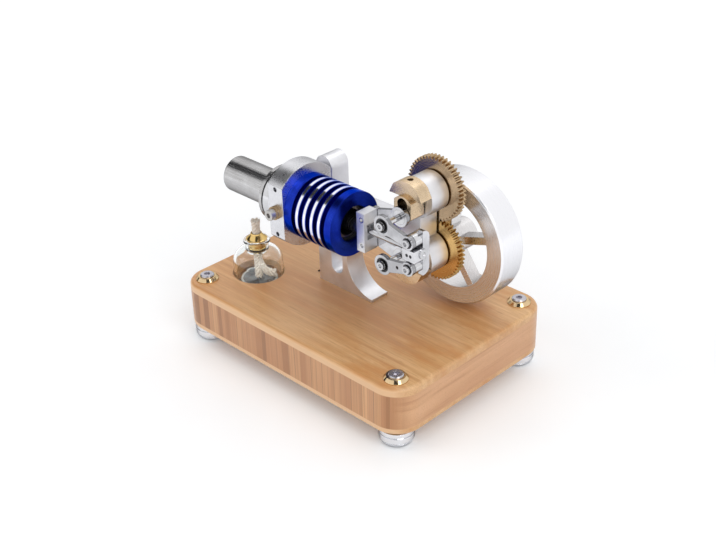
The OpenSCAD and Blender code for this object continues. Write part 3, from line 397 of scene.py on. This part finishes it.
def link_steel():
    """Brushed links with painted shade on their edge faces: only their front and back faces are bright."""
    m = brushed("link_steel", (0.80, 0.80, 0.83), 0.12, 0.42)
    # Painted shade on the faces that face neither front nor back
    edge = m.math("LESS_THAN", m.normal()[1], 0.5)
    m.tint(m.math("MULTIPLY", edge, 0.6), (0.16, 0.16, 0.17))
    return m


BOLT_HEAD_RADIUS = 2.1 * MM


def black_collar(name, centre):
    """Bright bolt whose collar, behind the head and wider than it, is black."""
    m = metal(name, (0.74, 0.74, 0.76), 0.12, 0.15 * MM)
    m.tint(m.math("GREATER_THAN", m.away("y", centre), BOLT_HEAD_RADIUS), (0.03, 0.03, 0.03))
    return m


# Cooler: four fins between a broad ring at each end, and the bare band on each fin's rim
FIN_COUNT, FIN_THICK = 4, 2.4 * MM
BACK_RING, FRONT_RING = 5.3 * MM, 4.2 * MM
FINS_FROM, FINS_TO = COOLER_LOW.x + BACK_RING, COOLER_HIGH.x - FRONT_RING
FIN_PITCH = (FINS_TO - FINS_FROM + FIN_THICK) / (FIN_COUNT + 1)
FIN_MIDDLE = FINS_FROM + FIN_PITCH - FIN_THICK / 2
CLEAR_OF_RINGS = 1.5 * MM
BARE_RADIUS = COOLER_RADIUS - 0.08 * MM
BARE_HALF, BARE_END = 0.72 * MM, 0.86 * MM
RING_CUT = MM / 3.6


def anodised_cooler():
    """Blue anodising with the fins' rims turned bare and bright."""
    m = Mat("anodised_cooler", (0.01, 0.03, 0.5), 1.0, 0.26)
    x = m.xyz()[0]
    radius = m.away("x", CYLINDER)
    half = FIN_PITCH / 2
    along = m.math("ADD", m.math("SUBTRACT", x, FIN_MIDDLE), half)
    from_fin = m.math("SUBTRACT", m.math("FLOORED_MODULO", along, FIN_PITCH), half)
    band = m.span(m.math("ABSOLUTE", from_fin), BARE_HALF, BARE_END, 1.0, 0.0)
    past_back = m.math("GREATER_THAN", x, FINS_FROM + CLEAR_OF_RINGS)
    before_front = m.math("LESS_THAN", x, FINS_TO - CLEAR_OF_RINGS)
    fins = m.math("MULTIPLY", past_back, before_front)
    rim = m.math("GREATER_THAN", radius, BARE_RADIUS)
    bare = m.math("MULTIPLY", m.math("MULTIPLY", rim, fins), band)
    cloud = m.noise(120, 4, 0.6)
    m.set("Base Color", m.mix(m.span(cloud, 0.3, 0.7), (0.008, 0.020, 0.31), (0.018, 0.050, 0.50)))
    m.tint(bare, (0.90, 0.90, 0.94))
    m.set("Specular Tint", (0.35, 0.45, 0.9, 1))
    ring = m.rings(m.math("ADD", radius, x), RING_CUT)
    satin = m.span(ring, 0.3, 0.7, 0.2, 0.34)
    m.set("Roughness", m.math("SUBTRACT", satin, m.math("MULTIPLY", bare, 0.15)))
    m.bump(ring, 0.005 * MM, 0.5, 0.25 * MM)
    return m


def glass():
    """Clear glass, faintly wavy."""
    m = Mat("burner_glass", (0.97, 0.99, 0.99), 0.0, 0.02, Transmission_Weight=1.0, IOR=1.45)
    m.bump(m.noise(70, 2, 0.5), 0.12 * MM, 0.3)
    m.set("Roughness", m.span(m.noise(500, 3), 0.3, 0.7, 0.0, 0.03))
    return m


# Radii over which the painted highlight on the moulded bottom's rim comes in
RIM_GLINT_FROM, RIM_GLINT_FULL = 8.5 * MM, 8.8 * MM


def moulded_glass():
    """Cloudy grey glass, the grey a painted reflection, with a painted highlight on its rim."""
    m = Mat("glass_bottom", (0.3, 0.32, 0.33), 0.0, 0.16, Transmission_Weight=0.3, IOR=1.45)
    cloud = m.span(m.noise(200, 3), 0.35, 0.65)
    # Grey that paints the dark reflections seen in the glass floor
    m.set("Base Color", m.mix(cloud, (0.10, 0.12, 0.135), (0.27, 0.30, 0.32)))
    patchy = m.span(m.noise(120, 2), 0.4, 0.6, 0.6, 1.0)
    rim = m.span(m.away("z", POCKET), RIM_GLINT_FROM, RIM_GLINT_FULL)
    # Painted highlight on the rim
    m.tint(m.math("MULTIPLY", rim, patchy), (0.97, 0.97, 0.90))
    return m


def cotton():
    """Twisted cotton yarn."""
    m = Mat("cotton", (0.66, 0.58, 0.46), 0.0, 0.85, Sheen_Weight=0.3, Sheen_Roughness=0.5)
    yarn = m.noise(1.0, 4, 0.6, m.stretch(2200, 2200, 900))
    m.set("Base Color", m.mix(m.span(yarn, 0.3, 0.7), (0.76, 0.66, 0.54), (0.97, 0.90, 0.81)))
    m.bump(yarn, 0.12 * MM, 0.8)
    return m


def rubber(name, color):
    """Matt rubber with a fine grain."""
    m = Mat(name, color, 0.0, 0.7)
    grain = m.noise(1500, 4, 0.6)
    darker, lighter = (tuple(part * factor for part in color) for factor in (0.6, 1.5))
    m.set("Base Color", m.mix(m.span(grain, 0.3, 0.7), darker, lighter))
    m.bump(grain, 0.03 * MM, 0.5, 0.15 * MM)
    return m


# Materials of the CAD nodes; a node that isn't named here is bright steel
yarn_cotton = cotton()
looks = {
    "base": bamboo(),
    "feet": metal("foot_chrome", (0.84, 0.85, 0.88), 0.06, 0.3 * MM, wear=0.08, rim=0.7),
    "cup_washers": metal("washer_brass", (0.84, 0.62, 0.36), 0.1, wear=0.2),
    "corner_screws": metal("screw_steel", (0.66, 0.64, 0.69), 0.26, 0.15 * MM),
    "bracket": metal("bracket_aluminium", (0.85, 0.85, 0.88), 0.37, 0.35 * MM, 900, (0.3, 1, 2.5), 0.14),
    "hot_block": metal("block_aluminium", (0.80, 0.80, 0.83), 0.28, 0.3 * MM, 1200, (1, 1, 2), 0.12),
    "spacer_ring": turned("spacer_steel", (0.78, 0.78, 0.80), 0.14, CYLINDER, "x"),
    "gasket": rubber("gasket_black", (0.02, 0.02, 0.02)),
    "hot_cap": cap_steel(),
    "plug_bush": metal("bush_brass", (0.52, 0.37, 0.22), 0.36),
    "plug_screw": metal("plug_steel", (0.66, 0.64, 0.62), 0.4),
    "cooler": anodised_cooler(),
    "cylinder_liner": turned("liner_dark", (0.10, 0.10, 0.10), 0.3, CYLINDER, "x"),
    "power_piston": turned("piston_steel", (0.35, 0.35, 0.36), 0.25, CYLINDER, "x"),
    "displacer": turned("displacer_steel", (0.4, 0.4, 0.42), 0.25, CYLINDER, "x"),
    "displacer_rod": turned("rod_steel", (0.62, 0.62, 0.64), 0.12, CYLINDER, "x"),
    "displacer_yoke": brushed("frame_steel", (0.80, 0.80, 0.83), 0.18, 0.3),
    "piston_yoke": brushed("yoke_steel", (0.82, 0.82, 0.84), 0.36, 0.2),
    "shaft_bearings": metal("bearing_steel", (0.5, 0.5, 0.52), 0.2),
    "long_bolt_upper": black_collar("bolt_upper", HIGH_BOLT),
    "long_bolt_lower": black_collar("bolt_lower", LOW_BOLT),
    "lower_gear": gear_brass("lower_gear_brass", (0.82, 0.52, 0.20), LOW),
    # The lower gear's brass, darker and duller here: painted dark reflection on the upper gear
    "upper_gear": gear_brass("upper_gear_brass", (0.68, 0.49, 0.30), HIGH),
    "flywheel": flywheel_metal(),
    "burner_glass": glass(),
    "burner_collar": turned("collar_brass", BRASS, 0.12, POCKET, "z"),
    "burner_wick": yarn_cotton,
}
dark = metal("dark_steel", (0.10, 0.10, 0.105), 0.3, 0.12 * MM)
looks["flywheel_screw"] = looks["clamp_screws"] = dark
crank, link = crank_brass(), link_steel()
for half in ("upper", "lower"):
    looks[half + "_crank"] = crank
    looks["long_link_" + half] = looks["short_link_" + half] = link
    looks[half + "_set_screw"] = looks["long_bearings_" + half] = dark
bright = metal("bright_steel", (0.74, 0.74, 0.76), 0.12, 0.15 * MM)
for node, cad_object in frame["nodes"].items():
    material = looks.get(node, bright).material
    if not cad_object.material_slots:
        cad_object.data.materials.append(material)
    for slot in cad_object.material_slots:
        slot.link = "OBJECT"
        slot.material = material


def object_of(name, bm):
    """A new object in the scene, from a bmesh that isn't needed any more."""
    mesh = bpy.data.meshes.new(name)
    bm.to_mesh(mesh)
    bm.free()
    made = bpy.data.objects.new(name, mesh)
    bpy.context.scene.collection.objects.link(made)
    return made


def piece(name, bm, material, body):
    """A smooth piece of the engine that rides on a body."""
    bmesh.ops.recalc_face_normals(bm, faces=bm.faces)
    made = object_of(name, bm)
    for face in made.data.polygons:
        face.use_smooth = True
    made.data.materials.append(material.material)
    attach(made, body)
    return made


def tube_walls(bm, rings):
    """Faces between each ring of vertices and the next."""
    for low, high in zip(rings, rings[1:]):
        for k in range(len(low)):
            after = (k + 1) % len(low)
            bm.faces.new((low[k], low[after], high[after], high[k]))


# Directions that no yarn and no bundle runs in, from which the angles round them are counted
YARN_SIDE, BUNDLE_SIDE = Vector((0.31, 0.87, 0.38)), Vector((0.58, -0.81, 0.02))
UNEVEN = 0.07


def square_to(ahead, side):
    """Two directions square to ahead and to each other."""
    across = ahead.cross(side).normalized()
    return across, ahead.cross(across)


def strand(bm, points, radii, sides=7):
    """A tube along points, with a radius for each of them."""
    rings = []
    for i, (point, radius) in enumerate(zip(points, radii)):
        ahead = (points[min(i + 1, len(points) - 1)] - points[max(i - 1, 0)]).normalized()
        across, other = square_to(ahead, YARN_SIDE)
        rings.append([bm.verts.new(point + (across * math.cos(a) + other * math.sin(a)) * radius)
                      for a in (2 * math.pi * k / sides for k in range(sides))])
    tube_walls(bm, rings)
    bm.faces.new(rings[0][::-1])
    bm.faces.new(rings[-1])


def yarns(count, centre, ring, thick, turns, steps):
    """Yarns twisted round one in the middle, along centre(t) and ring(t) away from it."""
    bm = bmesh.new()
    for k in range(count + 1):
        points, radii = [], []
        for i in range(steps + 1):
            t = i / steps
            ahead = (centre(min(t + 0.01, 1)) - centre(max(t - 0.01, 0))).normalized()
            across, other = square_to(ahead, BUNDLE_SIDE)
            a = 2 * math.pi * (k / count + turns * t)
            reach = ring(t) if k < count else 0
            points.append(centre(t) + (across * math.cos(a) + other * math.sin(a)) * reach)
            radii.append(thick * (1 + UNEVEN * math.sin(5 * a + 9 * k)))
        strand(bm, points, radii)
    return bm


# Wick: twisted yarns with a frayed top, from just over the glass floor up through the collar
BURNER = Vector((POCKET[0], POCKET[1], 0))
WICK_LOW, WICK_TOP = WICK_FOOT + 0.3 * MM, WICK_TIP - 0.7 * MM
BUNDLE, FLARE, FLARE_FROM = 1.45 * MM, 0.45 * MM, 0.9
WICK_YARNS, WICK_THREADS = 6, 40
ALONG_THREAD = (0, 0.35, 0.7, 1.0)
THREAD = (0.14 * MM, 0.13 * MM, 0.1 * MM, 0.05 * MM)


def wick_line(t):
    """The middle of the wick, from its foot at 0 to its top at 1."""
    return BURNER + Vector((0, 0, WICK_LOW + (WICK_TOP - WICK_LOW) * t))


def wick_ring(t):
    """Radius of the ring of yarns, wider over the last tenth."""
    return BUNDLE + FLARE * max(0.0, (t - FLARE_FROM) / (1 - FLARE_FROM)) ** 2


rng = random.Random(5)
bm = yarns(WICK_YARNS, wick_line, wick_ring, 0.82 * MM, 2.6, 60)
for _ in range(WICK_THREADS):
    a, r = rng.uniform(0, 2 * math.pi), rng.uniform(0.2, 2.3) * MM
    root = BURNER + Vector((r * math.cos(a), r * math.sin(a), WICK_TOP - 0.4 * MM))
    lean = Vector((math.cos(a), math.sin(a), 0)) * rng.uniform(0.0, 0.5) * MM
    rise = rng.uniform(0.5, 1.1) * MM
    path = [root + lean * u * u + Vector((0, 0, rise * u)) for u in ALONG_THREAD]
    strand(bm, path, THREAD, 5)
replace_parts(piece("wick_yarns", bm, yarn_cotton, "burner"), "burner_wick")

# Loose tail of the wick, as heights over the glass's foot and reach from the wick's middle
TAIL_REST, TAIL_RISE = 3.85 * MM, 8.5 * MM
TAIL_START, TAIL_REACH, TAIL_SWAY = 0.6 * MM, 8.4 * MM, 0.6 * MM
TAIL_WAY = (0.78, 0.62)
TAIL_THREADS = 16
TAIL_THREAD = (0.2 * MM, 0.18 * MM, 0.14 * MM, 0.06 * MM)


def tail_line(t):
    """From the wick's side down and across the glass floor, towards +X and +Y."""
    reach = TAIL_START + TAIL_REACH * t ** 1.2
    sway = TAIL_SWAY * math.sin(4.4 * t)
    height = GLASS_FOOT + TAIL_REST + TAIL_RISE * (1 - t) ** 2.4
    return BURNER + Vector((reach * TAIL_WAY[0] + sway, reach * TAIL_WAY[1] - sway, height))


def tail_ring(t):
    """Radius of the ring of yarns, wider towards the end."""
    return (1.2 + 0.5 * t * t) * MM


bm = yarns(WICK_YARNS, tail_line, tail_ring, 0.66 * MM, 0.8, 30)
for _ in range(TAIL_THREADS):
    root = tail_line(rng.uniform(0.5, 0.95)) + Vector((rng.uniform(-1, 1), rng.uniform(-1, 1), 0.8)) * MM
    curl = Vector((rng.uniform(0.2, 1), rng.uniform(-0.6, 1), 0)).normalized() * rng.uniform(1.2, 2.4) * MM
    path = [root + curl * u + Vector((0, 0, (0.9 * u - 1.3 * u * u) * MM)) for u in ALONG_THREAD]
    strand(bm, path, TAIL_THREAD, 5)
piece("wick_tail", bm, yarn_cotton, "burner")


def lathe(profile, place, sides=72):
    """A closed profile of (radius, height) in mm turned round a line; place maps it to x, y and z."""
    bm = bmesh.new()
    spin = [2 * math.pi * k / sides for k in range(sides)]
    rings = [[bm.verts.new(place(r * math.cos(a) * MM, r * math.sin(a) * MM, h * MM)) for a in spin]
             for r, h in profile]
    tube_walls(bm, rings + rings[:1])
    return bm


def keep_edges(turned_piece):
    """Leave a turned piece's edges sharp."""
    turned_piece.data.set_sharp_from_angle(angle=math.radians(32))


# Collar: grooved sleeve, rolled brim, cone and nose, as radius and height over the glass's mouth
COLLAR = (
    (4.5, -6.0), (4.5, -4.4), (4.3, -4.25), (4.3, -3.95), (4.5, -3.8), (4.5, 0.0),
    (5.35, 0.0), (5.55, 0.1), (5.6, 0.3), (5.5, 0.5), (5.25, 0.6),
    (5.1, 0.7), (3.1, 2.8),
    (2.98, 3.05), (2.98, 3.5), (2.9, 3.65), (2.7, 3.65), (2.62, 3.5), (2.62, -6.0),
)
bm = lathe(COLLAR, lambda u, v, h: BURNER + Vector((u, v, GLASS_MOUTH + h)))
collar_brass = turned("collar_piece_brass", BRASS, 0.1, POCKET, "z", 0.12 * MM)
collar = piece("collar", bm, collar_brass, "burner")
keep_edges(collar)
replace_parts(collar, "burner_collar")

# Moulded bottom of the glass: a disc with a raised rim, as radius and height over the glass's foot
BOTTOM = ((0.0, 1.45), (8.6, 1.45), (8.9, 1.7), (9.4, 1.85), (9.8, 1.7), (9.95, 1.32), (0.0, 1.32))
bm = lathe(BOTTOM, lambda u, v, h: BURNER + Vector((u, v, GLASS_FOOT + h)))
bmesh.ops.remove_doubles(bm, verts=bm.verts, dist=0.001 * MM)
piece("glass_bottom", bm, moulded_glass(), "burner")

# The lamps shine through the glass, which casts no shadow of its own
frame["nodes"]["burner_glass"].visible_shadow = False

# Thrust washers, as radius and height over the back of the bearing bosses; their dark brown is painted
# shade in the gap between the bosses and the gears
WASHER = ((7.0, 0.03), (9.7, 0.03), (9.85, 0.1), (9.85, 0.3), (7.0, 0.3))
washer_brass = turned("thrust_washer_brass", (0.50, 0.34, 0.18), 0.3, LOW, "y", 0.05 * MM)
for name, shaft in (("upper", HIGH), ("lower", LOW)):
    bm = lathe(WASHER, lambda u, v, h: Vector((shaft[0] + u, BRACKET_BACK + h, shaft[2] + v)))
    keep_edges(piece(name + "_thrust_washer", bm, washer_brass, name + "_rotor"))

# Studio: places and sizes in metres
LAMP_AIM, CARD_CENTRE = Vector((0, 0, 60 * MM)), Vector((0, 0, 80 * MM))
CARD_DISTANCE = 0.6
CARDS = (
    ("card_stripe", (-0.66, -0.18, 0.70), 1.0, 0.33),
    ("card_front", (0.38, -0.38, 0.84), 0.5, 0.34),
)
FLOOR_SIZE, FLOOR_DROP = 3.2, 0.2 * MM
FADE_FROM, FADE_TO = 0.12, 1.1


def lamp(name, place, size, power):
    """A square lamp aimed at the middle of the engine."""
    light = bpy.data.lights.new(name, "AREA")
    light.size = size
    light.energy = power
    made = bpy.data.objects.new(name, light)
    made.location = place
    made.rotation_euler = (Vector(place) - LAMP_AIM).to_track_quat("Z", "Y").to_euler()
    bpy.context.scene.collection.objects.link(made)
    return made


def seen_rays(tree):
    """1 for the rays that show a background: camera, glossy and transmission rays."""
    path = tree.nodes.new("ShaderNodeLightPath")
    seen = path.outputs["Is Camera Ray"]
    for kind in ("Is Glossy Ray", "Is Transmission Ray"):
        either = tree.nodes.new("ShaderNodeMath")
        either.operation = "MAXIMUM"
        tree.links.new(seen, either.inputs[0])
        tree.links.new(path.outputs[kind], either.inputs[1])
        seen = either.outputs[0]
    return seen


def studio_world():
    """Soft light all round, shown as white."""
    world = bpy.data.worlds.new("studio")
    world.use_nodes = True
    tree = world.node_tree
    tree.nodes.clear()
    join = tree.nodes.new("ShaderNodeMixShader")
    tree.links.new(seen_rays(tree), join.inputs[0])
    for i, (color, strength) in enumerate((((0.95, 0.97, 1.0, 1), 0.5), ((1, 1, 1, 1), 1.0))):
        sky = tree.nodes.new("ShaderNodeBackground")
        sky.inputs[0].default_value = color
        sky.inputs[1].default_value = strength
        tree.links.new(sky.outputs[0], join.inputs[1 + i])
    out = tree.nodes.new("ShaderNodeOutputWorld")
    tree.links.new(join.outputs[0], out.inputs[0])
    return world


def plane(name, size_x, size_y, place, material):
    """A flat sheet of the studio, facing up."""
    bm = bmesh.new()
    bmesh.ops.create_grid(bm, x_segments=1, y_segments=1, size=0.5)
    bmesh.ops.scale(bm, vec=(size_x, size_y, 1), verts=bm.verts)
    made = object_of(name, bm)
    made.location = place
    made.data.materials.append(material.material)
    return made


def dark_card(name, way, wide, tall, material):
    """A card that faces the engine and that polished metal alone sees."""
    away = Vector(way).normalized() * CARD_DISTANCE
    card = plane(name, wide, tall, CARD_CENTRE + away, material)
    card.rotation_euler = (-away).to_track_quat("Z", "X").to_euler()
    for rays in ("camera", "diffuse", "transmission", "shadow", "volume_scatter"):
        setattr(card, "visible_" + rays, False)


def pale_floor():
    """Near-white floor that shows its shadow and fades to pure white with distance."""
    m = Mat("floor_pale", (0.95, 0.95, 0.95), 0.0, 0.8)
    m.set("Base Color", m.mix(m.span(m.noise(30), 0.3, 0.7), (0.95, 0.95, 0.95), (0.97, 0.97, 0.97)))
    m.set("Emission Color", (1, 1, 1, 1))
    fade = m.span(m.away("z", (0, 0)), FADE_FROM, FADE_TO, 0.1, 0.5)
    m.set("Emission Strength", m.math("MULTIPLY", seen_rays(m.tree), fade))
    return m


lamp("key", (0.85, -0.35, 0.95), 0.8, 5.5)
lamp("fill", (-0.75, -0.75, 0.6), 0.6, 2.2).visible_glossy = False
lamp("top", (-0.1, 0.2, 1.1), 0.9, 3.2)
card_black = Mat("card_black", (0.03, 0.03, 0.032), 0.0, 0.9)
for card in CARDS:
    dark_card(*card, card_black)
plane("floor", FLOOR_SIZE, FLOOR_SIZE, (0, 0, -FLOOR_DROP), pale_floor())
bpy.context.scene.world = studio_world()
bpy.context.scene.view_settings.view_transform = "Standard"
